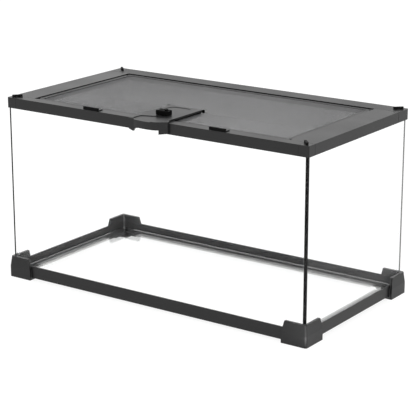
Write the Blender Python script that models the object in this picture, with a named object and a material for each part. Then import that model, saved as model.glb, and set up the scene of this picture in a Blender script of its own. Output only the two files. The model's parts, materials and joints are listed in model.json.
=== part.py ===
"""A glass pet tank with a hinged mesh lid, a small hatch in the lid and a slide bolt.

Metres, +Z up, front towards -Y, standing on z = 0. Coordinates in the functions are measured from
the middle of the tank, and those of the hatch and the bolt from their own middle line in X. The empties
then move them into place, so that the origin is the middle of the object's box at its bottom.
"""

import math

import bmesh
import bpy
from mathutils import Vector

# Driving dimensions
FRAME_LENGTH = 0.6175
FRAME_DEPTH = 0.322
RIM_Z = 0.3294
GAP = 0.0003

# Bottom rails and feet
BASE_Z = 0.0041
SIDE_BASE_Z = 0.0062
BASE_TOP_Z = 0.0258
WALL = 0.0021
LEDGE_WIDTH = 0.0265
LEDGE_Z = 0.0095
LEDGE_THICK = 0.0028
LEDGE_ROOT = 0.010
CHANNEL_Z = 0.0076
FOOT_PROUD = 0.0048
FOOT_HEIGHT = 0.0380
FOOT_ARMS = (0.048, 0.0505)
FOOT_ARM_SLOPE = 0.0048
FOOT_SHOULDER_Z = 0.0185
FOOT_TAPER = 0.0022
FOOT_TAPER_Z = 0.0195
FOOT_RADIUS = 0.004
FOOT_PLATE = 0.038
FOOT_PLATE_STEP = 0.022

# Glass
GLASS = 0.004
GLASS_INSET = 0.0026
GLASS_TOP_Z = 0.3254
BEAD = 0.003

# Top frame
RAIL_BOTTOM_Z = 0.3109
RAIL_BODY_Z = 0.3194
LEDGE_TOP_Z = 0.3231
TOP_LEDGE = 0.008
FRONT_RIM = 0.0185
BACK_RIM = 0.0345
SIDE_RIM = 0.0456
CORNER_LENGTH = 0.019
CORNER_RADIUS = 0.002
PAD_START = 0.0075
PAD_END = 0.0175
PAD_WIDTH = 0.0042
PAD_HEIGHT = 0.0034

# Lid
LID_FIT = 0.0004
LID_STRIP = 0.0104
LID_THICK = 0.0046
REBATE = 0.0044
REBATE_DEPTH = 0.0014
MESH_THICK = 0.0004
SHEET_GAP = 0.0002
LID_PIN_RADIUS = 0.0011
LID_BORE_RADIUS = 0.0015
LID_PIN_LENGTH = 0.022

# Hatch, measured from its own middle line, which stands HATCH_X to the right of the tank's
HATCH_X = 0.0027
HATCH_HALF_WIDTH = 0.035
HATCH_BACK_Y = -0.057
HATCH_THICK = 0.0024
LIP_LEFT = (-0.0424, -0.1636)
LIP_LEFT_KNEE = (-0.0300, -0.1636)
LIP_LEFT_CORNER = (-0.0207, -0.1758)
LIP_BULGE = (0.0, -0.1805)
LIP_TURN = (0.0185, -0.178)
LIP_TURN_OUT = (0.0242, -0.1768)
LIP_RIGHT_CORNER = (0.028, -0.1738)
LIP_RIGHT_KNEE = (0.0400, -0.1650)
LIP_RIGHT = (0.0408, -0.1613)
LIP_WALL = 0.0023
NOTCH_Z = 0.3150
LIP_BOTTOM_Z = 0.3183
LIP_TAB = ((-0.0424, 0.3122), (-0.0395, 0.3102), (-0.0325, 0.3078), (-0.0300, 0.3085))
LIP_END_Z = (0.3114, 0.3126)
FLARE_Y = -0.1545
RING_WIDTH = 0.005
RING_NECK = 0.003
RING_NECK_Z = 0.3208
HATCH_PIN_RADIUS = 0.0006
HATCH_BORE_RADIUS = 0.00085
EAR = 0.0026
EAR_RADIUS = 0.0018
POCKET_X = (-0.024, 0.020)
POCKET_Y = (-0.1145, -0.0645)
POCKET_RADIUS = 0.012
POCKET_DEPTH = 0.0006
SCOOP_DEPTH = 0.001
SCOOP_LEFT = (-0.0278, -0.1535)
SCOOP_LEFT_BACK = (-0.0215, -0.1462)
SCOOP_BACK = (0.0, -0.1372)
SCOOP_RIGHT_X = 0.014

# Slide bolt, measured from the knob's middle, which stands KNOB_X to the right of the hatch's
KNOB_X = 0.0025
KNOB_Y = -0.1243
KNOB_SIZE = (0.0228, 0.014, 0.0082)
BOLT_TRAVEL = 0.004
STEM = (0.006, 0.0034)
STEM_Y = KNOB_Y + 0.0041
TONGUE = (0.010, 0.0024)
TONGUE_Z = 0.3240

# Rim clips
CLIP_PLACES = {"left": -0.122, "right": 0.137}
TAB_SIZE = (0.031, 0.004, 0.0052)
TAB_STEP = (0.002, 0.0018)
PLATE_WIDTH = 0.030
PLATE_BACK_Y = -0.146
PLATE_THICK = 0.0015
CLIP_TRAVEL = 0.008
KEY_HALF_WIDTH = 0.0105
KEY_Y = (-0.1497, -0.1445)
KEY_HEIGHT = 0.0005

MARGIN = 0.005
ROUND_STEPS = 16

# Derived places
HALF_L = FRAME_LENGTH / 2
HALF_D = FRAME_DEPTH / 2
FOOT_HALF_L = HALF_L + FOOT_PROUD
FOOT_HALF_D = HALF_D + FOOT_PROUD
FOOT_WALL = FOOT_PROUD - GAP
FOOT_GRIP = FOOT_PROUD + GLASS_INSET - GAP
LIP_FRONT_Y = (LIP_LEFT_CORNER[1] + 2 * LIP_BULGE[1] + LIP_TURN[1]) / 4
SHIFT_Y = (-LIP_FRONT_Y - FOOT_HALF_D) / 2
RECESS_X = HALF_L - SIDE_RIM
RECESS_FRONT_Y = -HALF_D + FRONT_RIM
RECESS_BACK_Y = HALF_D - BACK_RIM
LID_X = RECESS_X - LID_FIT
LID_FRONT_Y = RECESS_FRONT_Y + LID_FIT
LID_BACK_Y = RECESS_BACK_Y - LID_FIT
LID_BOTTOM_Z = LEDGE_TOP_Z + GAP
LID_TOP_Z = LID_BOTTOM_Z + LID_THICK
LID_AXIS_Y = LID_BACK_Y - LID_THICK / 2
LID_AXIS_Z = LID_BOTTOM_Z + LID_THICK / 2
MESH_Z = LID_TOP_Z - REBATE_DEPTH + SHEET_GAP
RING_TOP_Z = RIM_Z
RING_X = HATCH_HALF_WIDTH - 0.001
RING_FRONT_Y = LID_FRONT_Y + LID_STRIP + 0.0005
RING_BACK_Y = HATCH_BACK_Y
HATCH_Z = RIM_Z + GAP
HATCH_TOP_Z = HATCH_Z + HATCH_THICK
HATCH_AXIS_Y = HATCH_BACK_Y - HATCH_THICK / 2
HATCH_AXIS_Z = HATCH_Z + HATCH_THICK / 2

COLOURS = {
    "frame_plastic": ((0.045, 0.046, 0.048), 0.55, 0.0),
    "lid_plastic": ((0.06, 0.061, 0.063), 0.6, 0.0),
    "latch_plastic": ((0.012, 0.012, 0.013), 0.3, 0.0),
    "screen": ((0.05, 0.05, 0.052), 0.6, 0.3),
    "glass": ((0.92, 0.96, 0.95), 0.05, 0.0),
    "silicone": ((0.7, 0.72, 0.72), 0.35, 0.0),
    "rubber": ((0.02, 0.02, 0.02), 0.8, 0.0),
    "steel": ((0.55, 0.55, 0.56), 0.3, 1.0),
}


def clear_scene():
    for obj in list(bpy.data.objects):
        bpy.data.objects.remove(obj)


def material(name):
    """The material of that name, made at its first use."""
    found = bpy.data.materials.get(name)
    if found:
        return found
    colour, roughness, metallic = COLOURS[name]
    made = bpy.data.materials.new(name)
    made.use_nodes = True
    shader = made.node_tree.nodes["Principled BSDF"]
    shader.inputs["Base Color"].default_value = (*colour, 1.0)
    shader.inputs["Roughness"].default_value = roughness
    shader.inputs["Metallic"].default_value = metallic
    return made


def empty_at(name, place, parent=None, aside=0.0):
    """An empty at a place in its pieces' coordinates. It stands that far aside in X, with all it holds."""
    empty = bpy.data.objects.new(name, None)
    bpy.context.scene.collection.objects.link(empty)
    empty.parent = parent
    empty["place"] = place
    origin = Vector(parent["place"]) if parent else Vector((0, 0, 0))
    empty.location = Vector(place) - origin + Vector((aside, 0, 0))
    return empty


def add_object(name, mesh, group, slot=None):
    """An object whose mesh is written in tank coordinates, hung from the group's empty."""
    obj = bpy.data.objects.new(name, mesh)
    bpy.context.scene.collection.objects.link(obj)
    obj.parent = group
    obj.location = -Vector(group["place"])
    if slot:
        mesh.materials.append(material(slot))
    return obj


def prism_mesh(name, outline, axis, low, high):
    """An outline pushed along an axis. The outline's pairs are the two other coordinates, in X, Y, Z order."""
    mesh_data = bmesh.new()

    def corner(pair, along):
        place = list(pair)
        place.insert("XYZ".index(axis), along)
        return mesh_data.verts.new(place)

    face = mesh_data.faces.new([corner(pair, low) for pair in outline])
    pushed = bmesh.ops.extrude_face_region(mesh_data, geom=[face])
    moved = [item for item in pushed["geom"] if isinstance(item, bmesh.types.BMVert)]
    step = Vector([high - low if letter == axis else 0.0 for letter in "XYZ"])
    bmesh.ops.translate(mesh_data, verts=moved, vec=step)
    bmesh.ops.recalc_face_normals(mesh_data, faces=mesh_data.faces)
    mesh = bpy.data.meshes.new(name)
    mesh_data.to_mesh(mesh)
    mesh_data.free()
    return mesh


def prism(name, outline, axis, low, high, group, slot=None):
    return add_object(name, prism_mesh(name, outline, axis, low, high), group, slot)


def box(name, low, high, group, slot=None):
    outline = [(low[0], low[1]), (high[0], low[1]), (high[0], high[1]), (low[0], high[1])]
    return prism(name, outline, "Z", low[2], high[2], group, slot)


def circle(centre, radius, steps=ROUND_STEPS):
    turns = [2 * math.pi * (step + 0.5) / steps for step in range(steps)]
    return [(centre[0] + radius * math.cos(t), centre[1] + radius * math.sin(t)) for t in turns]


def arc(centre, radius, start, end, steps):
    """Points of an arc, with its angles in degrees."""
    angles = [math.radians(start + (end - start) * step / steps) for step in range(steps + 1)]
    return [(centre[0] + radius * math.cos(a), centre[1] + radius * math.sin(a)) for a in angles]


def skin(name, rings, group, slot=None):
    """A closed body whose wall runs from each ring of points to the next."""
    mesh_data = bmesh.new()
    rows = [[mesh_data.verts.new(point) for point in ring] for ring in rings]
    mesh_data.faces.new(rows[0])
    mesh_data.faces.new(rows[-1])
    for near, far in zip(rows, rows[1:]):
        for i in range(len(near)):
            mesh_data.faces.new((near[i - 1], near[i], far[i], far[i - 1]))
    bmesh.ops.recalc_face_normals(mesh_data, faces=mesh_data.faces)
    mesh = bpy.data.meshes.new(name)
    mesh_data.to_mesh(mesh)
    mesh_data.free()
    return add_object(name, mesh, group, slot)


def bezier(start, pull, end, steps):
    """Points of a quadratic curve, without its end."""
    points = []
    for step in range(steps):
        t = step / steps
        weights = ((1 - t) ** 2, 2 * t * (1 - t), t**2)
        points.append(tuple(sum(w * p[k] for w, p in zip(weights, (start, pull, end))) for k in (0, 1)))
    return points


def boolean(obj, operation, other):
    """Joins the other shape to obj or takes it away. The other shape is a hidden helper."""
    other.hide_render = True
    other.display_type = "WIRE"
    step = obj.modifiers.new(other.name, "BOOLEAN")
    step.operation = operation
    step.solver = "EXACT"
    step.object = other
    return obj


def cut(obj, other):
    return boolean(obj, "DIFFERENCE", other)


def join(obj, other):
    return boolean(obj, "UNION", other)


def smooth(obj, angle=40):
    obj.data.shade_smooth()
    obj.data.set_sharp_from_angle(angle=math.radians(angle))
    return obj


def bottom_rail(side, group):
    """A channel that holds a wall pane, with an inward ledge under the floor pane. Its ends are mitred."""
    along_x = side in ("front", "back")
    base = BASE_Z if along_x else SIDE_BASE_Z
    profile = [
        (0.0, base),
        (0.0, BASE_TOP_Z),
        (WALL, BASE_TOP_Z),
        (WALL, CHANNEL_Z),
        (GLASS_INSET + GLASS + GAP, CHANNEL_Z),
        (GLASS_INSET + GLASS + GAP, LEDGE_Z),
        (LEDGE_WIDTH, LEDGE_Z),
        (LEDGE_WIDTH, LEDGE_Z - LEDGE_THICK),
        (LEDGE_ROOT, LEDGE_Z - LEDGE_THICK),
        (LEDGE_ROOT, base),
    ]
    outward = -1 if side in ("front", "left") else 1
    half_length, half_width = (HALF_L, HALF_D) if along_x else (HALF_D, HALF_L)
    rings = []
    for end in (-1, 1):
        ring = []
        for inward, z in profile:
            along = end * (half_length - inward - GAP / 2)
            across = outward * (half_width - inward)
            ring.append((along, across, z) if along_x else (across, along, z))
        rings.append(ring)
    return skin("bottom_rail_" + side, rings, group, "frame_plastic")


def foot_outline(inset, inner):
    """An L measured inward from the foot's outer corner: its outer faces at inset, its inner ones at inner."""
    arm_x, arm_y = FOOT_ARMS
    middle = FOOT_RADIUS + inset
    rounded = arc((middle, middle), FOOT_RADIUS, 180, 270, 6)
    return [(inset, arm_y), *rounded, (arm_x, inset), (arm_x, inner), (inner, inner), (inner, arm_y)]


def foot(name, side_x, side_y, group):
    """A corner foot: a plate under the rails and an L-shaped wall that clasps them and the glass."""

    def place(pairs):
        return [(side_x * (FOOT_HALF_L - u), side_y * (FOOT_HALF_D - v)) for u, v in pairs]

    levels = ((0.0, 0.0), (0.0, FOOT_TAPER_Z), (FOOT_TAPER, FOOT_HEIGHT))
    rings = [[(x, y, z) for x, y in place(foot_outline(inset, FOOT_GRIP))] for inset, z in levels]
    wall = skin(name, rings, group, "frame_plastic")

    room_far = max(FOOT_ARMS) + MARGIN
    room = [(FOOT_WALL, FOOT_WALL), (room_far, FOOT_WALL), (room_far, room_far), (FOOT_WALL, room_far)]
    cut(wall, prism(name + "_room", place(room), "Z", BASE_Z - GAP, BASE_TOP_Z + GAP, group))

    rise = FOOT_HEIGHT - FOOT_SHOULDER_Z
    for axis, arm in zip("XY", FOOT_ARMS):
        along, side = (FOOT_HALF_L, side_x) if axis == "X" else (FOOT_HALF_D, side_y)
        across, other_side = (FOOT_HALF_D, side_y) if axis == "X" else (FOOT_HALF_L, side_x)
        wedge = [(arm, FOOT_SHOULDER_Z), (arm - 2 * FOOT_ARM_SLOPE, FOOT_SHOULDER_Z + 2 * rise)]
        wedge += [(arm + MARGIN, FOOT_SHOULDER_Z + 2 * rise), (arm + MARGIN, FOOT_SHOULDER_Z)]
        outline = [(side * (along - u), z) for u, z in wedge]
        ends = sorted((other_side * (across + MARGIN), other_side * (across - FOOT_GRIP - MARGIN)))
        push = "Y" if axis == "X" else "X"
        cut(wall, prism(name + "_slope_" + axis, outline, push, ends[0], ends[1], group))

    step = foot_outline(0.0, FOOT_PLATE_STEP)
    inner_corner = step.index((FOOT_PLATE_STEP, FOOT_PLATE_STEP))
    step[inner_corner : inner_corner + 1] = [
        (FOOT_PLATE, FOOT_PLATE_STEP),
        (FOOT_PLATE, FOOT_PLATE),
        (FOOT_PLATE_STEP, FOOT_PLATE),
    ]
    return join(wall, prism(name + "_plate", place(step), "Z", 0.0, BASE_Z - GAP, group))


def glass_panes(group):
    """Long panes at the front and back, short panes between them, and the floor pane inside all four."""
    x_out = HALF_L - GLASS_INSET
    y_out = HALF_D - GLASS_INSET
    x_in = x_out - GLASS
    y_in = y_out - GLASS
    low = CHANNEL_Z + GAP
    for side, sign in (("front", -1), ("back", 1)):
        faces = sorted((sign * y_out, sign * y_in))
        box("glass_" + side, (-x_out, faces[0], low), (x_out, faces[1], GLASS_TOP_Z), group, "glass")
    for side, sign in (("left", -1), ("right", 1)):
        faces = sorted((sign * x_out, sign * x_in))
        ends = y_in - GAP
        box("glass_" + side, (faces[0], -ends, low), (faces[1], ends, GLASS_TOP_Z), group, "glass")
    floor_low = (-(x_in - GAP), -(y_in - GAP), LEDGE_Z + GAP)
    floor_high = (x_in - GAP, y_in - GAP, LEDGE_Z + GAP + GLASS)
    box("glass_floor", floor_low, floor_high, group, "glass")


def silicone_bead(name, side_x, side_y, group):
    """A fillet of sealant up one inner corner of the glass."""
    x = HALF_L - GLASS_INSET - GLASS - GAP
    y = HALF_D - GLASS_INSET - GLASS - GAP
    hollow = arc((BEAD, BEAD), BEAD * 0.75, 255, 195, 3)
    pairs = [(0.0, 0.0), (BEAD, 0.0), *hollow, (0.0, BEAD)]
    outline = [(side_x * (x - u), side_y * (y - v)) for u, v in pairs]
    low = LEDGE_Z + GLASS + 2 * GAP
    return prism(name, outline, "Z", low, RAIL_BOTTOM_Z - GAP, group, "silicone")


def rim_profile(rim):
    """(distance inward, height) of a top rail: a channel for the glass and a solid rim inside it."""
    inner = GLASS_INSET + GLASS + GAP
    return [
        (0.0, RAIL_BOTTOM_Z),
        (0.0, RIM_Z),
        (rim, RIM_Z),
        (rim, RAIL_BODY_Z),
        (inner + WALL, RAIL_BODY_Z),
        (inner + WALL, RAIL_BOTTOM_Z),
        (inner, RAIL_BOTTOM_Z),
        (inner, GLASS_TOP_Z + GAP),
        (WALL, GLASS_TOP_Z + GAP),
        (WALL, RAIL_BOTTOM_Z),
    ]


def long_top_rail(side, rim, group):
    sign = -1 if side == "front" else 1
    name = "top_rail_" + side
    half = HALF_L - CORNER_LENGTH
    outline = [(sign * (HALF_D - inward), z) for inward, z in rim_profile(rim)]
    rail = prism(name, outline, "X", -half + GAP, half - GAP, group, "frame_plastic")
    edges = sorted((sign * (HALF_D - rim + 0.002), sign * (HALF_D - rim - TOP_LEDGE)))
    low = (-RECESS_X + GAP, edges[0], RAIL_BODY_Z + 0.0001)
    high = (RECESS_X - GAP, edges[1], LEDGE_TOP_Z)
    return join(rail, box(name + "_ledge", low, high, group))


def clip_keys(rail, group):
    """Two low keys on the front rim, which the clips' plates slide along."""
    for side, x in CLIP_PLACES.items():
        low = (x - KEY_HALF_WIDTH, KEY_Y[0], RIM_Z - 0.001)
        high = (x + KEY_HALF_WIDTH, KEY_Y[1], RIM_Z + KEY_HEIGHT)
        join(rail, box("clip_key_" + side, low, high, group))


def finger_notch(rail, group):
    """The front rail's lower edge is cut away behind the lip, where a fingertip goes in."""
    low = (HATCH_X + LIP_LEFT_KNEE[0], -HALF_D - MARGIN, RAIL_BOTTOM_Z - MARGIN)
    high = (HATCH_X + LIP_RIGHT_CORNER[0], -HALF_D + FRONT_RIM, NOTCH_Z)
    return cut(rail, box("finger_notch", low, high, group))


def side_top_rail(side, group):
    sign = -1 if side == "left" else 1
    name = "top_rail_" + side
    low_y = RECESS_FRONT_Y + GAP
    high_y = RECESS_BACK_Y - GAP
    outline = [(sign * (HALF_L - inward), z) for inward, z in rim_profile(SIDE_RIM)]
    rail = prism(name, outline, "Y", low_y, high_y, group, "frame_plastic")
    edges = sorted((sign * (RECESS_X + 0.002), sign * (RECESS_X - TOP_LEDGE)))
    low = (edges[0], low_y + TOP_LEDGE, RAIL_BODY_Z + 0.0001)
    high = (edges[1], high_y - TOP_LEDGE, LEDGE_TOP_Z)
    join(rail, box(name + "_ledge", low, high, group))
    ends = sorted((sign * (RECESS_X + LID_PIN_LENGTH / 2 + 0.001), sign * (RECESS_X - 0.001)))
    bore = circle((LID_AXIS_Y, LID_AXIS_Z), LID_BORE_RADIUS)
    return cut(rail, prism(name + "_bore", bore, "X", ends[0], ends[1], group))


def corner_connector(name, side_x, side_y, group):
    """The moulded corner that joins two top rails, with a slot for each pane."""
    rim = FRONT_RIM if side_y < 0 else BACK_RIM

    def corner_box(title, low_u, high_u, low_v, high_v, low_z, high_z):
        """A box measured inward from the frame's outer corner."""
        xs = sorted((side_x * (HALF_L - low_u), side_x * (HALF_L - high_u)))
        ys = sorted((side_y * (HALF_D - low_v), side_y * (HALF_D - high_v)))
        return box(title, (xs[0], ys[0], low_z), (xs[1], ys[1], high_z), group)

    rounded = arc((CORNER_RADIUS, CORNER_RADIUS), CORNER_RADIUS, 180, 270, 6)
    pairs = [*rounded, (CORNER_LENGTH, 0.0), (CORNER_LENGTH, rim - GAP), (0.0, rim - GAP)]
    outline = [(side_x * (HALF_L - u), side_y * (HALF_D - v)) for u, v in pairs]
    block = prism(name, outline, "Z", RAIL_BOTTOM_Z, RIM_Z, group, "frame_plastic")
    inner = GLASS_INSET + GLASS + GAP
    top = GLASS_TOP_Z + GAP
    below = RAIL_BOTTOM_Z - 0.001
    far = 0.04
    cut(block, corner_box(name + "_slot_long", WALL, far, WALL, inner, below, top))
    cut(block, corner_box(name + "_slot_short", WALL, inner, WALL + 0.001, far, below, top))
    core = inner + WALL
    return cut(block, corner_box(name + "_under", core, far, core, far, below, RAIL_BODY_Z))


def corner_pad(name, side_x, side_y, group):
    """A rubber bar across the mitre of a top corner, where a cover or another tank can rest."""
    radius = PAD_WIDTH / 2
    pairs = arc((PAD_START, PAD_START), radius, 135, 315, 6)
    pairs += arc((PAD_END, PAD_END), radius, -45, 135, 6)
    outline = [(side_x * (HALF_L - u), side_y * (HALF_D - v)) for u, v in pairs]
    low = RIM_Z + GAP
    return prism(name, outline, "Z", low, low + PAD_HEIGHT, group, "rubber")


def lid_pin(side, group):
    sign = -1 if side == "left" else 1
    middle = sign * (RECESS_X - LID_FIT / 2)
    outline = circle((LID_AXIS_Y, LID_AXIS_Z), LID_PIN_RADIUS)
    half = LID_PIN_LENGTH / 2
    pin = prism("lid_pin_" + side, outline, "X", middle - half, middle + half, group, "steel")
    return smooth(pin)


def strip_profile():
    """(distance inward, height) of a lid strip, with a rebate along its inner top edge for the mesh."""
    return [
        (0.0, LID_BOTTOM_Z),
        (LID_STRIP, LID_BOTTOM_Z),
        (LID_STRIP, LID_TOP_Z - REBATE_DEPTH),
        (LID_STRIP - REBATE, LID_TOP_Z - REBATE_DEPTH),
        (LID_STRIP - REBATE, LID_TOP_Z),
        (0.0, LID_TOP_Z),
    ]


def lid_frame(group):
    """Four strips. The back one has a round edge on the hinge axis and a blind bore at each end."""
    front = [(LID_FRONT_Y + inward, z) for inward, z in strip_profile()]
    prism("lid_frame_front", front, "X", -LID_X, LID_X, group, "lid_plastic")

    radius = LID_THICK / 2
    back = [(LID_BACK_Y - inward, z) for inward, z in strip_profile()[1:-1]]
    back += arc((LID_AXIS_Y, LID_AXIS_Z), radius, 90, -90, 10)
    strip = prism("lid_frame_back", back, "X", -LID_X, LID_X, group, "lid_plastic")
    bore = circle((LID_AXIS_Y, LID_AXIS_Z), LID_BORE_RADIUS)
    depth = LID_PIN_LENGTH / 2 + 0.001
    for sign in (-1, 1):
        ends = sorted((sign * (LID_X - depth), sign * (LID_X + 0.002)))
        name = "lid_bore_right" if sign > 0 else "lid_bore_left"
        cut(strip, prism(name, bore, "X", ends[0], ends[1], group))
    smooth(strip)

    low_y = LID_FRONT_Y + LID_STRIP + GAP
    high_y = LID_BACK_Y - LID_STRIP - GAP
    for side, sign in (("left", -1), ("right", 1)):
        outline = [(sign * (LID_X - inward), z) for inward, z in strip_profile()]
        prism("lid_frame_" + side, outline, "Y", low_y, high_y, group, "lid_plastic")


def lid_screen(group, seat):
    """The mesh sheet, a thin slab here, cut out for the hatch, and the flat splines that hold it."""
    reach = LID_STRIP - REBATE + GAP
    x = LID_X - reach
    low_y = LID_FRONT_Y + reach
    high_y = LID_BACK_Y - reach
    sheet = box("screen_mesh", (-x, low_y, MESH_Z), (x, high_y, MESH_Z + MESH_THICK), group, "screen")
    hole_x = RING_X - RING_WIDTH + RING_NECK + GAP
    inset = RING_WIDTH - RING_NECK - GAP
    hole_low = (-hole_x, RING_FRONT_Y + inset, MESH_Z - 0.001)
    hole_high = (hole_x, RING_BACK_Y - inset, MESH_Z + 0.002)
    cut(sheet, box("hatch_cutout", hole_low, hole_high, seat))

    spline_z = (MESH_Z + MESH_THICK + SHEET_GAP, LID_TOP_Z)
    width = REBATE - 2 * GAP
    for side, y in (("front", low_y), ("back", high_y - width)):
        low = (-x, y, spline_z[0])
        box("screen_spline_" + side, low, (x, y + width, spline_z[1]), group, "rubber")
    for side, sign in (("left", -1), ("right", 1)):
        xs = sorted((sign * x, sign * (x - width)))
        low = (xs[0], low_y + width + GAP, spline_z[0])
        high = (xs[1], high_y - width - GAP, spline_z[1])
        box("screen_spline_" + side, low, high, group, "rubber")


def hatch_ring(group):
    """The collar round the hatch's opening: a flange over the mesh, a neck below, and two hinge ears."""
    flange_z = MESH_Z + MESH_THICK + GAP
    low = (-RING_X, RING_FRONT_Y, flange_z)
    ring = box("hatch_ring", low, (RING_X, RING_BACK_Y, RING_TOP_Z), group, "lid_plastic")
    step = RING_WIDTH - RING_NECK
    neck_low = (-RING_X + step, RING_FRONT_Y + step, RING_NECK_Z)
    neck_high = (RING_X - step, RING_BACK_Y - step, flange_z + 0.001)
    join(ring, box("hatch_ring_neck", neck_low, neck_high, group))
    hole_low = (-RING_X + RING_WIDTH, RING_FRONT_Y + RING_WIDTH, RING_NECK_Z - 0.002)
    hole_high = (RING_X - RING_WIDTH, RING_BACK_Y - RING_WIDTH, RING_TOP_Z + 0.002)
    cut(ring, box("hatch_ring_hole", hole_low, hole_high, group))

    slot_x = TONGUE[0] / 2 + 0.0006
    slot_low = (KNOB_X - slot_x, RING_FRONT_Y - 0.001, TONGUE_Z - 0.0006)
    slot_high = (KNOB_X + slot_x, RING_FRONT_Y + RING_WIDTH + 0.001, TONGUE_Z + TONGUE[1] + 0.0006)
    cut(ring, box("hatch_keeper_slot", slot_low, slot_high, group))

    for sign in (-1, 1):
        inner = HATCH_HALF_WIDTH + GAP
        xs = sorted((sign * inner, sign * (inner + EAR)))
        foot_x = sorted((sign * (RING_X - 0.001), sign * (inner + EAR)))
        outline = [
            (HATCH_AXIS_Y - EAR_RADIUS, RING_TOP_Z - 0.001),
            (HATCH_AXIS_Y + EAR_RADIUS, RING_TOP_Z - 0.001),
            *arc((HATCH_AXIS_Y, HATCH_AXIS_Z), EAR_RADIUS, 0, 180, 8),
        ]
        side = "right" if sign > 0 else "left"
        join(ring, prism("hatch_ear_" + side, outline, "X", xs[0], xs[1], group))
        low = (foot_x[0], HATCH_AXIS_Y - 0.0025, flange_z + 0.0001)
        high = (foot_x[1], HATCH_AXIS_Y + 0.0012, RING_TOP_Z - 0.0001)
        join(ring, box("hatch_ear_foot_" + side, low, high, group))
    bore = circle((HATCH_AXIS_Y, HATCH_AXIS_Z), HATCH_BORE_RADIUS)
    half = HATCH_HALF_WIDTH + EAR + 0.002
    return cut(ring, prism("hatch_ear_bore", bore, "X", -half, half, group))


def lip_path():
    """The lip's outer line from the rail at the left, out to its front and round to the rail at the right."""
    points = [LIP_LEFT, LIP_LEFT_KNEE]
    points += bezier(LIP_LEFT_CORNER, LIP_BULGE, LIP_TURN, 10)
    points += bezier(LIP_TURN, LIP_TURN_OUT, LIP_RIGHT_CORNER, 5)
    return points + [LIP_RIGHT_CORNER, LIP_RIGHT_KNEE, LIP_RIGHT]


def moved_inward(path, distance, limit_y):
    """The path moved to its left side, and kept in front of the rail."""
    moved = []
    for i, point in enumerate(path):
        before = Vector(path[max(i - 1, 0)])
        after = Vector(path[min(i + 1, len(path) - 1)])
        along = (after - before).normalized()
        x = point[0] - along.y * distance
        y = point[1] + along.x * distance
        moved.append((x, min(y, limit_y)))
    return moved


def lip_apron(name, group):
    """The wall that hangs from the lip. A tab at its left end and its right end reach lower."""
    path = lip_path()
    inner = moved_inward(path, LIP_WALL, LIP_RIGHT[1])
    inner[-1] = (LIP_RIGHT[0] - LIP_WALL, LIP_RIGHT[1])
    outline = path + inner[::-1]
    below = LIP_TAB[2][1] - MARGIN
    apron = prism(name, outline, "Z", below + GAP, HATCH_Z + HATCH_THICK / 2, group, "lid_plastic")
    edge = [(LIP_LEFT[0] - MARGIN, below), (LIP_LEFT[0] - MARGIN, LIP_TAB[0][1]), *LIP_TAB]
    edge += [(LIP_LEFT_KNEE[0], LIP_BOTTOM_Z), (LIP_RIGHT_CORNER[0], LIP_BOTTOM_Z)]
    edge += [(LIP_RIGHT_CORNER[0], LIP_END_Z[0]), (LIP_RIGHT[0], LIP_END_Z[1])]
    edge += [(LIP_RIGHT[0] + MARGIN, LIP_END_Z[1]), (LIP_RIGHT[0] + MARGIN, below)]
    front = LIP_FRONT_Y - MARGIN
    cut(apron, prism(name + "_edge", edge, "Y", front, LIP_RIGHT[1] + MARGIN, group))
    over_low = (LIP_LEFT[0] - MARGIN, front, RIM_Z - GAP)
    over_high = (LIP_LEFT_KNEE[0] - GAP, LIP_RIGHT[1] + MARGIN, HATCH_TOP_Z)
    return cut(apron, box(name + "_tab_top", over_low, over_high, group))


def hatch_plate_outline():
    back = HATCH_BACK_Y - HATCH_THICK / 2
    half = HATCH_HALF_WIDTH
    bend = (LIP_LEFT_KNEE[0] - LIP_WALL, LIP_RIGHT[1])
    return [(-half, back), (-half, FLARE_Y), bend, *lip_path()[1:], (half, FLARE_Y), (half, back)]


def scoop_outline():
    """The shallow step in the plate's front left part, open to the front. Its back edge runs aslant."""
    front = LIP_FRONT_Y - MARGIN
    corner = (SCOOP_LEFT[0], SCOOP_LEFT_BACK[1])
    outline = [(SCOOP_LEFT[0], front), *bezier(SCOOP_LEFT, corner, SCOOP_LEFT_BACK, 5)]
    return outline + [SCOOP_LEFT_BACK, SCOOP_BACK, (SCOOP_RIGHT_X, SCOOP_BACK[1]), (SCOOP_RIGHT_X, front)]


def pocket_outline():
    """A bay behind the knob, with its two far corners rounded."""
    left, right = POCKET_X
    near, far = POCKET_Y
    radius = POCKET_RADIUS
    outline = [(left, near), (right, near)]
    outline += arc((right - radius, far - radius), radius, 0, 90, 6)
    return outline + arc((left + radius, far - radius), radius, 90, 180, 6)


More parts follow.
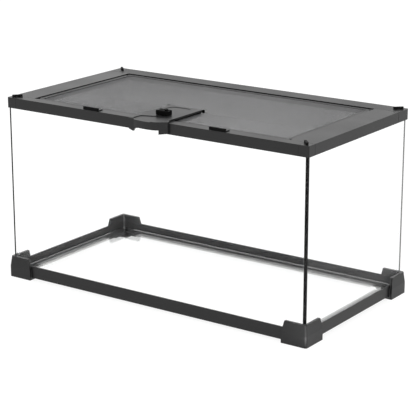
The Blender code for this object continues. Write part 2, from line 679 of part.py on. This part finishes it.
def hatch_door(group):
    """The plate over the hatch: a thumb pocket, a front step, the bolt's slot and a bowed finger lip."""
    name = "hatch_door"
    door = prism(name, hatch_plate_outline(), "Z", HATCH_Z, HATCH_TOP_Z, group, "lid_plastic")
    back = HATCH_BACK_Y - HATCH_THICK / 2
    edge = arc((HATCH_AXIS_Y, HATCH_AXIS_Z), HATCH_THICK / 2, 90, -90, 8)
    edge += [(back - 0.002, HATCH_Z), (back - 0.002, HATCH_TOP_Z)]
    join(door, prism(name + "_edge", edge, "X", -HATCH_HALF_WIDTH, HATCH_HALF_WIDTH, group))
    join(door, lip_apron(name + "_apron", group))

    above = HATCH_TOP_Z + 0.002
    cut(door, prism(name + "_scoop", scoop_outline(), "Z", HATCH_TOP_Z - SCOOP_DEPTH, above, group))
    depth = HATCH_TOP_Z - POCKET_DEPTH
    cut(door, prism(name + "_pocket", pocket_outline(), "Z", depth, above, group))

    slot_x = STEM[0] / 2 + 0.0005
    slot_low = (KNOB_X - slot_x, STEM_Y - STEM[1] / 2 - BOLT_TRAVEL - 0.0005, HATCH_Z - 0.002)
    slot_high = (KNOB_X + slot_x, STEM_Y + STEM[1] / 2 + 0.0005, above)
    cut(door, box(name + "_slot", slot_low, slot_high, group))
    bore = circle((HATCH_AXIS_Y, HATCH_AXIS_Z), HATCH_BORE_RADIUS)
    half_bore = HATCH_HALF_WIDTH + 0.002
    return cut(door, prism(name + "_bore", bore, "X", -half_bore, half_bore, group))


def hatch_pin(group):
    outline = circle((HATCH_AXIS_Y, HATCH_AXIS_Z), HATCH_PIN_RADIUS, 12)
    half = HATCH_HALF_WIDTH + EAR
    return smooth(prism("hatch_pin", outline, "X", -half, half, group, "steel"))


def bolt_slide(group):
    """The bolt: a stem down through the hatch's slot and a tongue below, which enters the ring's slot."""
    tongue_front = RING_FRONT_Y + RING_WIDTH + 0.0006
    low = (-TONGUE[0] / 2, tongue_front, TONGUE_Z)
    high = (TONGUE[0] / 2, KNOB_Y + 0.008, TONGUE_Z + TONGUE[1])
    bolt = box("bolt_slide", low, high, group, "latch_plastic")
    stem_low = (-STEM[0] / 2, STEM_Y - STEM[1] / 2, TONGUE_Z + 0.0002)
    stem_high = (STEM[0] / 2, STEM_Y + STEM[1] / 2, HATCH_TOP_Z + 0.004)
    return join(bolt, box("bolt_stem", stem_low, stem_high, group))


def bolt_knob(group):
    """The block that a finger pushes, with a ridge across its top. It is pressed on the bolt's stem."""
    half_x = KNOB_SIZE[0] / 2
    half_y = KNOB_SIZE[1] / 2
    low_z = HATCH_TOP_Z + GAP
    top_z = low_z + KNOB_SIZE[2]
    side = [
        (KNOB_Y - half_y, low_z),
        (KNOB_Y + half_y, low_z),
        (KNOB_Y + half_y, top_z - 0.0015),
        (KNOB_Y + half_y - 0.0015, top_z),
        (KNOB_Y + 0.002, top_z - 0.0012),
        (KNOB_Y - 0.002, top_z - 0.0012),
        (KNOB_Y - half_y + 0.0015, top_z),
        (KNOB_Y - half_y, top_z - 0.0015),
    ]
    knob = prism("bolt_knob", side, "X", -half_x, half_x, group, "latch_plastic")
    ridge_low = (0.0025, KNOB_Y - 0.0015, top_z - 0.003)
    ridge_high = (0.0055, KNOB_Y + 0.0045, top_z + 0.0012)
    join(knob, box("bolt_knob_ridge", ridge_low, ridge_high, group))
    socket_low = (-STEM[0] / 2 - GAP, STEM_Y - STEM[1] / 2 - GAP, low_z - 0.001)
    socket_high = (STEM[0] / 2 + GAP, STEM_Y + STEM[1] / 2 + GAP, HATCH_TOP_Z + 0.004 + GAP)
    return cut(knob, box("bolt_knob_socket", socket_low, socket_high, group))


def rim_clip(side, group):
    """A thumb tab on a plate that slides back over the lid's edge, along the key under it."""
    middle = CLIP_PLACES[side]
    width, depth, height = TAB_SIZE
    step_y, step_z = TAB_STEP
    front = -HALF_D + 0.0004
    low_z = RIM_Z + GAP
    high_z = low_z + height
    tab = [
        (front, low_z),
        (front + step_y, low_z),
        (front + step_y, low_z + step_z),
        (front + depth, low_z + step_z),
        (front + depth, high_z - 0.001),
        (front + depth - 0.001, high_z),
        (front + 0.0006, high_z),
        (front, high_z - 0.0006),
    ]
    half = width / 2
    prism("rim_clip_" + side, tab, "X", middle - half, middle + half, group, "latch_plastic")

    half = PLATE_WIDTH / 2
    groove = KEY_HALF_WIDTH + GAP
    groove_z = RIM_Z + KEY_HEIGHT + GAP
    plate = [
        (middle - half, low_z),
        (middle - groove, low_z),
        (middle - groove, groove_z),
        (middle + groove, groove_z),
        (middle + groove, low_z),
        (middle + half, low_z),
        (middle + half, low_z + PLATE_THICK),
        (middle - half, low_z + PLATE_THICK),
    ]
    plate_front = front + step_y + GAP
    prism("clip_plate_" + side, plate, "Y", plate_front, PLATE_BACK_Y, group, "lid_plastic")


def tank(group):
    for side in ("front", "back", "left", "right"):
        bottom_rail(side, group)
    glass_panes(group)
    for end, side_y in (("front", -1), ("back", 1)):
        for side, side_x in (("left", -1), ("right", 1)):
            where = f"{end}_{side}"
            foot("foot_" + where, side_x, side_y, group)
            silicone_bead("silicone_" + where, side_x, side_y, group)
            corner_connector("top_corner_" + where, side_x, side_y, group)
            corner_pad("corner_pad_" + where, side_x, side_y, group)
    front = long_top_rail("front", FRONT_RIM, group)
    clip_keys(front, group)
    finger_notch(front, group)
    long_top_rail("back", BACK_RIM, group)
    for side in ("left", "right"):
        side_top_rail(side, group)
        lid_pin(side, group)


def main():
    clear_scene()
    placed = empty_at("cage", (0.0, 0.0, 0.0))
    placed.location = (0.0, SHIFT_Y, 0.0)
    tank(placed)

    lid = empty_at("lid_hinge", (0.0, LID_AXIS_Y, LID_AXIS_Z), placed)
    seat = empty_at("hatch_seat", (0.0, 0.0, 0.0), lid, HATCH_X)
    lid_frame(lid)
    lid_screen(lid, seat)
    hatch_ring(seat)

    hatch = empty_at("hatch_hinge", (0.0, HATCH_AXIS_Y, HATCH_AXIS_Z), seat)
    hatch_door(hatch)
    hatch_pin(hatch)

    bolt = empty_at("bolt_track", (0.0, KNOB_Y, HATCH_TOP_Z), hatch, KNOB_X)
    bolt_slide(bolt)
    bolt_knob(bolt)

    for side, x in CLIP_PLACES.items():
        rim_clip(side, empty_at("clip_track_" + side, (x, -HALF_D, RIM_Z), placed))


main()
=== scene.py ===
"""The looks of the glass pet tank: camera, light, materials and the fine pieces that the CAD lacks."""

import json
import math

import bmesh
import bpy
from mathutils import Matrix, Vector


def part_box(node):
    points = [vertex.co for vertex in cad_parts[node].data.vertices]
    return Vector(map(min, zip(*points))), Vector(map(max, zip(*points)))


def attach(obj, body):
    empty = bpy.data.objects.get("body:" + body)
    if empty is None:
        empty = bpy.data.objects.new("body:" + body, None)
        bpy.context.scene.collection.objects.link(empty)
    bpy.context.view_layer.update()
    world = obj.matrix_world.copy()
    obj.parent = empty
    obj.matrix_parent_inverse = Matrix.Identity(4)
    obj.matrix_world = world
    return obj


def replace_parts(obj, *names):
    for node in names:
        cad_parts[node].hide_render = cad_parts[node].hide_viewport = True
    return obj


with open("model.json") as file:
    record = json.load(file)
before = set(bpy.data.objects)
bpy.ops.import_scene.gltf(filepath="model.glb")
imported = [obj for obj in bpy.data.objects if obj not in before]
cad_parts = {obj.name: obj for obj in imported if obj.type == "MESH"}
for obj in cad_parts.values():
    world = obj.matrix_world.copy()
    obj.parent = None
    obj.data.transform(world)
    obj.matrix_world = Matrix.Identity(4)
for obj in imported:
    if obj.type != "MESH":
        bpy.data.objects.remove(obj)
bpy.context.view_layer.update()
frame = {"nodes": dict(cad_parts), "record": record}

# Camera
CAMERA_AZIMUTH = 35.05
CAMERA_ELEVATION = 16.34
CAMERA_DISTANCE = 2.7071
CAMERA_ASIDE = 0.0059
CAMERA_ABOVE = -0.0215
CAMERA_LENS = 133.77
TARGET_BELOW_RIM = 0.1665

# Stage and light
FLOOR_SIZE = 30
FLOOR_GLOW = 0.86
WORLD_STRENGTH = 1.13

# Mesh of the lid: two layers of wire, whose ends at the hatch lie under its collar
WIRE_PITCH = 0.0014
WIRE_RADIUS = 0.00017
WIRE_SIDES = 5
LAYER_OFFSET = WIRE_RADIUS * 0.7
COLLAR_EAR = 0.0036
COLLAR_COVER = 0.002

# Rounding of the mouldings' edges, by the start of their names
EDGE_WIDTHS = {
    "foot": 0.0007,
    "top_rail": 0.0006,
    "top_corner": 0.0006,
    "bottom_rail": 0.0005,
    "lid_frame": 0.0003,
    "hatch_door": 0.00045,
    "hatch_ring": 0.0003,
    "bolt_knob": 0.0008,
    "rim_clip": 0.0004,
    "clip_plate": 0.0003,
    "corner_pad": 0.0006,
}

# Dark strips in the glass corners: painted shade of the glass ends, black at the front corners and grey
# at the back right
END_SHADE_LIFT = 0.00005
END_SHADE_THICK = 0.00012
END_SHADE_IN_FOOT = 0.004
END_SHADE_IN_RAIL = 0.002
END_SHADE_STEPS = 24

# Grey sheet under the floor pane, a painted shadow of the frame seen through the glass: how far it lies
# over each ledge and past it, and how far from the back left foot's arms it starts
SHADOW_SHEET_LIFT = 0.00003
SHADOW_SHEET_THICK = 0.00015
SHADOW_SHEET_WIDTHS = {"back": (0.0065, 0.0125), "left": (0.0110, 0.0050), "right": (0.0, 0.0035)}
SHADOW_SHEET_STARTS = {"back": 0.014, "left": 0.033}
SHADOW_SHEET_STEPS_LONG = 20
SHADOW_SHEET_STEPS_SHORT = 10

# Black strip on the hatch's right edge, painted shade of the dark gap there: how far inside the pin's
# end the edge is, and the strip's margins
PIN_PROUD = 0.0026
EDGE_SHADE_LIFT = 0.00005
EDGE_SHADE_THICK = 0.00015
EDGE_SHADE_FRONT = 0.016
EDGE_SHADE_BACK = 0.002
EDGE_SHADE_HEIGHT_MARGIN = 0.0002
EDGE_SHADE_STEPS = 12

# Paler colour on the faces inside the bottom frame: painted light, standing in for the light these
# faces reflect
INSIDE_PAINTED_LIGHT = (0.060, 0.060, 0.061)
WALL_STEP = Vector((0.0012, 0.0012, 0.0))
MASK_SOFT = 0.0002

# Brighter place on the light table
SPOT_WAY = Vector((0.57, -0.82, 0.0))
SPOT_AWAY = 0.085
SPOT_CORE = 0.4
SPOT_REACH = 0.075
SPOT_STRENGTH = 13.0


def node_box(*names):
    """The lowest and highest corner of several CAD nodes."""
    lows, highs = zip(*(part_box(name) for name in names))
    return Vector(map(min, zip(*lows))), Vector(map(max, zip(*highs)))


# ---------------------------------------------------------------- materials


class Graph:
    """A material's node tree, with short calls for the nodes used here."""

    def __init__(self, name):
        self.made = bpy.data.materials.new(name)
        self.made.use_nodes = True
        self.tree = self.made.node_tree
        self.shader = self.tree.nodes["Principled BSDF"]
        self.place = self.node("ShaderNodeTexCoord").outputs["Object"]

    def node(self, kind, **settings):
        made = self.tree.nodes.new(kind)
        for key, value in settings.items():
            setattr(made, key, value)
        return made

    def put(self, socket, value):
        if isinstance(value, bpy.types.NodeSocket):
            self.tree.links.new(value, socket)
        else:
            socket.default_value = value

    def noise(self, scale, detail=3.0, roughness=0.55, stretch=None):
        """Noise in metres of the object, from 0 to 1."""
        made = self.node("ShaderNodeTexNoise")
        place = self.place
        if stretch:
            mapping = self.node("ShaderNodeMapping")
            mapping.inputs["Scale"].default_value = stretch
            self.put(mapping.inputs["Vector"], place)
            place = mapping.outputs["Vector"]
        self.put(made.inputs["Vector"], place)
        made.inputs["Scale"].default_value = scale
        made.inputs["Detail"].default_value = detail
        made.inputs["Roughness"].default_value = roughness
        return made.outputs["Fac"]

    def spread(self, value, low, high, start=0.3, end=0.7):
        """The value brought from start..end to low..high."""
        made = self.node("ShaderNodeMapRange")
        self.put(made.inputs["Value"], value)
        for name, number in (("From Min", start), ("From Max", end), ("To Min", low), ("To Max", high)):
            made.inputs[name].default_value = number
        return made.outputs["Result"]

    def blend(self, factor, first, second):
        made = self.node("ShaderNodeMix", data_type="RGBA")
        self.put(made.inputs["Factor"], factor)
        colours = [s for s in made.inputs if s.type == "RGBA"]
        for socket, colour in zip(colours, (first, second)):
            self.put(socket, colour if isinstance(colour, bpy.types.NodeSocket) else (*colour, 1.0))
        return [s for s in made.outputs if s.type == "RGBA"][0]

    def maths(self, operation, first, second):
        made = self.node("ShaderNodeMath", operation=operation)
        self.put(made.inputs[0], first)
        self.put(made.inputs[1], second)
        return made.outputs[0]

    def bump(self, height, strength, distance):
        made = self.node("ShaderNodeBump")
        self.put(made.inputs["Height"], height)
        made.inputs["Strength"].default_value = strength
        made.inputs["Distance"].default_value = distance
        return made.outputs["Normal"]


def inside_faces(g, low, high):
    """1 on the faces that look into the tank, 0 on its outside."""
    axes = g.node("ShaderNodeSeparateXYZ")
    g.put(axes.inputs[0], g.place)
    share = 1.0
    for axis in (0, 1):
        middle, half = (low[axis] + high[axis]) / 2, (high[axis] - low[axis]) / 2
        away = g.maths("ABSOLUTE", g.maths("SUBTRACT", axes.outputs[axis], middle), 0.0)
        share = g.maths("MULTIPLY", share, g.spread(away, 1.0, 0.0, half - MASK_SOFT, half + MASK_SOFT))
    return share


def moulded(name, dark, light, roughness, grain, specular, painted_light_inside=None):
    """Moulded plastic: a fine spark-eroded grain, and slow changes of tone and gloss. With a box given,
    the faces inside it turn paler: painted light.
    """
    g = Graph(name)
    slow = g.noise(9.0, 2.0)
    fine = g.noise(1500.0, 2.0)
    tone = g.maths("ADD", g.maths("MULTIPLY", slow, 0.7), g.maths("MULTIPLY", fine, 0.3))
    colour = g.blend(g.spread(tone, 0.0, 1.0), dark, light)
    # Faces inside the box get the paler colour: painted light, not a second plastic
    if painted_light_inside:
        colour = g.blend(inside_faces(g, *painted_light_inside), colour, INSIDE_PAINTED_LIGHT)
    g.put(g.shader.inputs["Base Color"], colour)
    g.put(g.shader.inputs["Roughness"], g.spread(slow, roughness - 0.03, roughness + 0.04))
    g.put(g.shader.inputs["Normal"], g.bump(fine, 0.10 * grain, 0.00004))
    g.shader.inputs["Specular IOR Level"].default_value = specular
    return g.made


def matt_rubber():
    g = Graph("black_rubber")
    speck = g.noise(900.0, 4.0)
    colour = g.blend(g.spread(speck, 0.0, 1.0), (0.003, 0.003, 0.003), (0.008, 0.008, 0.008))
    g.put(g.shader.inputs["Base Color"], colour)
    g.put(g.shader.inputs["Roughness"], g.spread(g.noise(60.0), 0.6, 0.75))
    g.put(g.shader.inputs["Normal"], g.bump(speck, 0.2, 0.00006))
    g.shader.inputs["Specular IOR Level"].default_value = 0.12
    return g.made


def coated_wire():
    g = Graph("coated_wire")
    fine = g.noise(700.0, 2.0)
    slow = g.noise(14.0, 2.0)
    colour = g.blend(g.spread(slow, 0.0, 1.0), (0.185, 0.185, 0.187), (0.205, 0.205, 0.208))
    g.put(g.shader.inputs["Base Color"], colour)
    g.put(g.shader.inputs["Roughness"], g.spread(fine, 0.42, 0.58))
    g.shader.inputs["Specular IOR Level"].default_value = 0.12
    return g.made


def bright_steel():
    g = Graph("bright_steel")
    lines = g.noise(60.0, 3.0, stretch=(1.0, 40.0, 40.0))
    g.put(g.shader.inputs["Base Color"], g.blend(lines, (0.42, 0.42, 0.43), (0.60, 0.60, 0.61)))
    g.put(g.shader.inputs["Roughness"], g.spread(lines, 0.2, 0.4))
    g.shader.inputs["Metallic"].default_value = 1.0
    return g.made


def soft_light(g):
    """1 for the rays of lamps and of soft light, so that what glass shuts in isn't in shade, else 0."""
    rays = g.node("ShaderNodeLightPath")
    return g.maths("MAXIMUM", rays.outputs["Is Shadow Ray"], rays.outputs["Is Diffuse Ray"])


def let_light_through(g, share):
    """This share of the light passes the surface as if it were not there."""
    clear = g.node("ShaderNodeBsdfTransparent")
    mix = g.node("ShaderNodeMixShader")
    g.put(mix.inputs[0], share)
    g.put(mix.inputs[1], g.shader.outputs[0])
    g.put(mix.inputs[2], clear.outputs[0])
    g.put(g.tree.nodes["Material Output"].inputs["Surface"], mix.outputs[0])


def clear_glass(name, bending):
    """Float glass. A faint film changes its tint and its gloss a little from place to place."""
    g = Graph(name)
    film = g.noise(6.0, 4.0)
    g.put(g.shader.inputs["Base Color"], g.blend(film, (0.992, 0.997, 0.995), (1.0, 1.0, 1.0)))
    g.put(g.shader.inputs["Roughness"], g.spread(film, 0.0, 0.012))
    g.shader.inputs["IOR"].default_value = bending
    g.shader.inputs["Transmission Weight"].default_value = 1.0
    let_light_through(g, soft_light(g))
    return g.made


def clear_sealant():
    g = Graph("clear_sealant")
    cloud = g.noise(120.0, 3.0)
    g.put(g.shader.inputs["Base Color"], g.blend(cloud, (0.85, 0.86, 0.86), (0.95, 0.95, 0.95)))
    g.put(g.shader.inputs["Roughness"], g.spread(cloud, 0.25, 0.4))
    g.put(g.shader.inputs["Normal"], g.bump(g.noise(300.0), 0.15, 0.0002))
    let_light_through(g, 0.93)
    return g.made


def shade_sheet_look(name, tone):
    """An opaque, a little cloudy look for the pieces of painted shade and painted shadow; it hides what
    is behind it.
    """
    g = Graph(name)
    cloud = g.noise(160.0, 3.0)
    g.put(g.shader.inputs["Base Color"], g.blend(cloud, [0.6 * tone] * 3, [tone] * 3))
    g.put(g.shader.inputs["Roughness"], g.spread(cloud, 0.45, 0.6))
    g.shader.inputs["Specular IOR Level"].default_value = 0.1
    return g.made


CHARCOAL = ((0.0105, 0.0105, 0.0107), (0.0140, 0.0140, 0.0143))
BLACK = ((0.0012, 0.0012, 0.0012), (0.0022, 0.0022, 0.0022))
BASE_LOW, BASE_HIGH = node_box(*("bottom_rail_" + side for side in ("left", "right", "front", "back")))
INSIDE_RAILS = (BASE_LOW + WALL_STEP, BASE_HIGH - WALL_STEP)
INSIDE_FEET = (BASE_LOW - WALL_STEP, BASE_HIGH + WALL_STEP)

LOOKS = {
    "frame_plastic": moulded("charcoal_frame", *CHARCOAL, 0.36, 1.0, 0.27),
    "lid_plastic": moulded("charcoal_lid", *CHARCOAL, 0.38, 1.0, 0.27),
    "latch_plastic": moulded("black_latch", *BLACK, 0.45, 0.5, 0.06),
    "screen": coated_wire(),
    "glass": clear_glass("clear_pane", 1.10),
    "silicone": clear_sealant(),
    "rubber": matt_rubber(),
    "steel": bright_steel(),
}
# Looks of the painted shade and painted shadow pieces: dark strips at the glass ends, and a grey sheet
# under the floor pane
GLASS_END_SHADE_BLACK = shade_sheet_look("glass_end_shade_black", 0.004)
GLASS_END_SHADE_GREY = shade_sheet_look("glass_end_shade_grey", 0.26)
SHADOW_SHEET_GREY = shade_sheet_look("shadow_sheet_grey", 0.50)

# Nodes whose look isn't their slot's, by the start of their name
SPECIAL_LOOKS = {
    # Rails and feet turn paler on their faces inside the tank: painted light
    "bottom_rail": moulded("charcoal_rail_lit_inside", *CHARCOAL, 0.36, 1.0, 0.27, INSIDE_RAILS),
    "foot": moulded("charcoal_foot_lit_inside", *CHARCOAL, 0.36, 1.0, 0.27, INSIDE_FEET),
    # The back rail: the frame plastic with less specular, a darker copy of it: painted shade
    "top_rail_back": moulded("charcoal_back", *CHARCOAL, 0.36, 1.0, 0.16),
    "glass_floor": clear_glass("floor_pane", 1.5),
    "screen_spline": LOOKS["lid_plastic"],
    # The hatch ring in black latch plastic, so that its right side reads as a dark line: painted shade
    "hatch_ring": LOOKS["latch_plastic"],
}


def look_of(name, slot):
    for start, look in SPECIAL_LOOKS.items():
        if name.startswith(start):
            return look
    return LOOKS[slot]


def dress_nodes():
    slots = {part["node"]: part["material_slot"] for part in frame["record"]["subparts"]}
    for name, node in frame["nodes"].items():
        for holder in node.material_slots:
            holder.link = "OBJECT"
            holder.material = look_of(name, slots[name])


# ---------------------------------------------------------------- shapes


def soften(name, width, segments=2, angle=32):
    """Rounds a CAD node's edges in the picture. Its mesh stays as it is."""
    bevel = frame["nodes"][name].modifiers.new("edges", "BEVEL")
    bevel.width = width
    bevel.segments = segments
    bevel.limit_method = "ANGLE"
    bevel.angle_limit = math.radians(angle)
    bevel.harden_normals = True
    bevel.miter_outer = "MITER_ARC"


def soften_all():
    for name in frame["nodes"]:
        for start, width in EDGE_WIDTHS.items():
            if name.startswith(start):
                soften(name, width)


def add_mesh(name, mesh_data, body, look):
    mesh = bpy.data.meshes.new(name)
    mesh_data.to_mesh(mesh)
    mesh_data.free()
    mesh.materials.append(look)
    obj = bpy.data.objects.new(name, mesh)
    bpy.context.scene.collection.objects.link(obj)
    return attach(obj, body)


def add_skin(mesh_data, rings):
    """A closed body through rings of points."""
    rings = [[mesh_data.verts.new(place) for place in ring] for ring in rings]
    for near, far in zip(rings, rings[1:]):
        for i in range(len(near)):
            mesh_data.faces.new((near[i - 1], near[i], far[i], far[i - 1]))
    mesh_data.faces.new(rings[0][::-1])
    mesh_data.faces.new(rings[-1])
    bmesh.ops.recalc_face_normals(mesh_data, faces=mesh_data.faces)


def add_wire(mesh_data, start, end, radius):
    """A straight wire, closed at its ends."""
    along = (end - start).normalized()
    aside = along.cross(Vector((0, 0, 1))).normalized()
    rings = []
    for place in (start, end):
        ring = []
        for step in range(WIRE_SIDES):
            turn = 2 * math.pi * (step + 0.5) / WIRE_SIDES
            offset = aside * math.cos(turn) * radius + Vector((0, 0, math.sin(turn) * radius))
            ring.append(mesh_data.verts.new(place + offset))
        rings.append(ring)
    near, far = rings
    for step in range(WIRE_SIDES):
        after = (step + 1) % WIRE_SIDES
        mesh_data.faces.new((near[step], near[after], far[after], far[step])).smooth = True
    mesh_data.faces.new(near[::-1])
    mesh_data.faces.new(far)


def wire_lines(low, high, hole_low, hole_high, axis):
    """(start, end) of each wire along an axis, broken where it would cross the hatch's opening."""
    other = 1 - axis
    count = round((high[other] - low[other]) / WIRE_PITCH)
    for step in range(1, count):
        across = low[other] + (high[other] - low[other]) * step / count
        spans = [(low[axis], high[axis])]
        if hole_low[other] < across < hole_high[other]:
            spans = [(low[axis], hole_low[axis]), (hole_high[axis], high[axis])]
        for first, last in spans:
            start, end = Vector((0, 0, 0)), Vector((0, 0, 0))
            start[axis], end[axis] = first, last
            start[other] = end[other] = across
            yield start, end


def wire_mesh():
    """The welded wire mesh, two layers of crossing wires, in the place of the CAD's plain sheet."""
    low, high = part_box("screen_mesh")
    ring_low, ring_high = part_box("hatch_ring")
    hole_low = Vector((ring_low.x + COLLAR_EAR, ring_low.y + COLLAR_COVER))
    hole_high = Vector((ring_high.x - COLLAR_EAR, ring_high.y - COLLAR_COVER))
    mesh_data = bmesh.new()
    middle = (low.z + high.z) / 2
    for axis, z in ((0, middle + LAYER_OFFSET), (1, middle - LAYER_OFFSET)):
        for start, end in wire_lines(low, high, hole_low, hole_high, axis):
            start.z = end.z = z
            add_wire(mesh_data, start, end, WIRE_RADIUS)
    mesh = add_mesh("wire_mesh", mesh_data, "lid", LOOKS["screen"])
    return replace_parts(mesh, "screen_mesh")


def strip_outline(pane_low, pane_high, end, side, layer, leg, outside):
    """The plan of a strip: a layer on the pane's face, so wide, and a leg on its ground end, so deep.
    """
    sign_x = 1 if side == "right" else -1
    end_x = pane_high.x if side == "right" else pane_low.x
    at_low = (end == "back") != outside
    face_y = pane_low.y if at_low else pane_high.y
    sign_y = -1 if at_low else 1
    reach = END_SHADE_LIFT + END_SHADE_THICK
    return [
        (end_x - sign_x * layer, face_y + sign_y * END_SHADE_LIFT),
        (end_x + sign_x * END_SHADE_LIFT, face_y + sign_y * END_SHADE_LIFT),
        (end_x + sign_x * END_SHADE_LIFT, face_y - sign_y * leg),
        (end_x + sign_x * reach, face_y - sign_y * leg),
        (end_x + sign_x * reach, face_y + sign_y * reach),
        (end_x - sign_x * layer, face_y + sign_y * reach),
    ]


def corner_shade_strip(end, side, look, layer, leg, outside=False):
    """A dark strip at one end of a long pane, from inside the foot to inside the top rail: painted
    shade.
    """
    outline = strip_outline(*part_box("glass_" + end), end, side, layer, leg, outside)
    low_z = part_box("foot_front_left")[1].z - END_SHADE_IN_FOOT
    high_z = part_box("top_rail_front")[0].z + END_SHADE_IN_RAIL
    heights = [low_z + (high_z - low_z) * step / END_SHADE_STEPS for step in range(END_SHADE_STEPS + 1)]
    mesh_data = bmesh.new()
    add_skin(mesh_data, [[(x, y, z) for x, y in outline] for z in heights])
    return add_mesh(f"end_shade_strip_{end}_{side}", mesh_data, "tank", look)


def add_block(mesh_data, low, high, steps):
    """A closed block, cut across its length into steps."""
    along = 0 if high[0] - low[0] > high[1] - low[1] else 1
    corners = ((low, low), (high, low), (high, high), (low, high))
    rings = []
    for step in range(steps + 1):
        ring = [Vector((across[0], across[1], upright[2])) for across, upright in corners]
        for place in ring:
            place[along] = low[along] + (high[along] - low[along]) * step / steps
        rings.append(ring)
    add_skin(mesh_data, rings)


def floor_shadow_sheet():
    """A grey sheet along the ledges, under the floor pane, between the feet: painted shadow of the
    frame on the table below.
    """
    foot_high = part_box("foot_front_left")[1]
    front_y, back_y, end_x = foot_high.y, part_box("foot_back_left")[0].y, -foot_high.x
    top_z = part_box("glass_floor")[0].z - SHADOW_SHEET_LIFT
    low_z = top_z - SHADOW_SHEET_THICK
    mesh_data = bmesh.new()
    ledge, (over, past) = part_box("bottom_rail_back")[0].y, SHADOW_SHEET_WIDTHS["back"]
    start = SHADOW_SHEET_STARTS["back"] - end_x
    add_block(mesh_data, (start, ledge - past, low_z), (end_x, ledge + over, top_z), SHADOW_SHEET_STEPS_LONG)
    ledge, (over, past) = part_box("bottom_rail_left")[1].x, SHADOW_SHEET_WIDTHS["left"]
    start = back_y - SHADOW_SHEET_STARTS["left"]
    add_block(mesh_data, (ledge - over, front_y, low_z), (ledge + past, start, top_z), SHADOW_SHEET_STEPS_SHORT)
    ledge, (over, past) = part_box("bottom_rail_right")[0].x, SHADOW_SHEET_WIDTHS["right"]
    low, high = (ledge - past, front_y, low_z), (ledge + over, back_y, top_z)
    add_block(mesh_data, low, high, SHADOW_SHEET_STEPS_SHORT)
    return add_mesh("floor_shadow_sheet", mesh_data, "tank", SHADOW_SHEET_GREY)


def hatch_edge_shade():
    """A thin black strip along the hatch's right edge: painted shade of the dark gap between the plate
    and the lid.
    """
    side_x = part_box("hatch_pin")[1].x - PIN_PROUD + EDGE_SHADE_LIFT
    front_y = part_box("top_rail_front")[1].y - EDGE_SHADE_FRONT
    ring_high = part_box("hatch_ring")[1]
    low_z = ring_high.z - EDGE_SHADE_HEIGHT_MARGIN
    high_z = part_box("hatch_door")[1].z - EDGE_SHADE_HEIGHT_MARGIN
    low = (side_x, front_y, low_z)
    high = (side_x + EDGE_SHADE_THICK, ring_high.y - EDGE_SHADE_BACK, high_z)
    mesh_data = bmesh.new()
    add_block(mesh_data, low, high, EDGE_SHADE_STEPS)
    return add_mesh("hatch_edge_shade", mesh_data, "hatch", LOOKS["rubber"])


# ---------------------------------------------------------------- camera, stage and light


def make_camera():
    """A long lens that looks down on the front right corner."""
    azimuth, elevation = math.radians(CAMERA_AZIMUTH), math.radians(CAMERA_ELEVATION)
    back = Vector((
        math.sin(azimuth) * math.cos(elevation),
        -math.cos(azimuth) * math.cos(elevation),
        math.sin(elevation),
    ))
    right = Vector((math.cos(azimuth), math.sin(azimuth), 0.0))
    up = back.cross(right)
    low, high = node_box("top_rail_front", "top_rail_back")
    rim_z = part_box("top_corner_front_left")[1].z
    target = Vector(((low.x + high.x) / 2, (low.y + high.y) / 2, rim_z - TARGET_BELOW_RIM))
    data = bpy.data.cameras.new("camera")
    data.lens = CAMERA_LENS
    data.sensor_width = 36.0
    camera = bpy.data.objects.new("camera", data)
    camera.location = target + back * CAMERA_DISTANCE + right * CAMERA_ASIDE + up * CAMERA_ABOVE
    camera.rotation_mode = "QUATERNION"
    camera.rotation_quaternion = (-back).to_track_quat("-Z", "Y")
    bpy.context.scene.collection.objects.link(camera)
    bpy.context.scene.camera = camera


def hot_spot(g):
    """A brighter place in front of the near foot, which its rounded edge mirrors as a light line."""
    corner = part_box("foot_front_right")
    middle = Vector((corner[1].x, corner[0].y, 0.0)) + SPOT_WAY * SPOT_AWAY
    away = g.node("ShaderNodeVectorMath", operation="DISTANCE")
    g.put(away.inputs[0], g.place)
    away.inputs[1].default_value = middle
    return g.spread(away.outputs["Value"], SPOT_STRENGTH, 0.0, SPOT_CORE * SPOT_REACH, SPOT_REACH)


def floor_look():
    """A light table: white, and lit a little from below, so that shadows on it stay soft."""
    g = Graph("light_table")
    cloud = g.noise(1.5, 2.0)
    g.put(g.shader.inputs["Base Color"], g.blend(cloud, (0.20, 0.20, 0.20), (0.22, 0.22, 0.22)))
    g.put(g.shader.inputs["Roughness"], g.spread(cloud, 0.85, 0.95))
    g.shader.inputs["Specular IOR Level"].default_value = 0.0
    g.shader.inputs["Emission Color"].default_value = (1, 1, 1, 1)
    g.put(g.shader.inputs["Emission Strength"], g.maths("ADD", hot_spot(g), FLOOR_GLOW))
    return g.made


def stage_and_light():
    bpy.ops.mesh.primitive_plane_add(size=FLOOR_SIZE)
    floor = bpy.context.active_object
    floor.name = "floor"
    floor.data.materials.append(floor_look())
    world = bpy.data.worlds.new("studio")
    bpy.context.scene.world = world
    world.use_nodes = True
    background = world.node_tree.nodes["Background"]
    background.inputs["Color"].default_value = (1, 1, 1, 1)
    background.inputs["Strength"].default_value = WORLD_STRENGTH


bpy.context.scene.view_settings.view_transform = "Standard"
make_camera()
stage_and_light()
dress_nodes()
soften_all()
wire_mesh()
# Dark strips where the glass ends look dark, black at the front and grey at the back right: painted
# shade
corner_shade_strip("front", "right", GLASS_END_SHADE_BLACK, 0.0064, 0.0038)
corner_shade_strip("front", "left", GLASS_END_SHADE_BLACK, 0.0029, 0.0005, True)
corner_shade_strip("back", "right", GLASS_END_SHADE_GREY, 0.0018, 0.0022)
# Painted shadow: a grey sheet under the floor pane, where the frame's shadow shows through
floor_shadow_sheet()
# Painted shade: a black strip along the hatch's right edge
hatch_edge_shade()
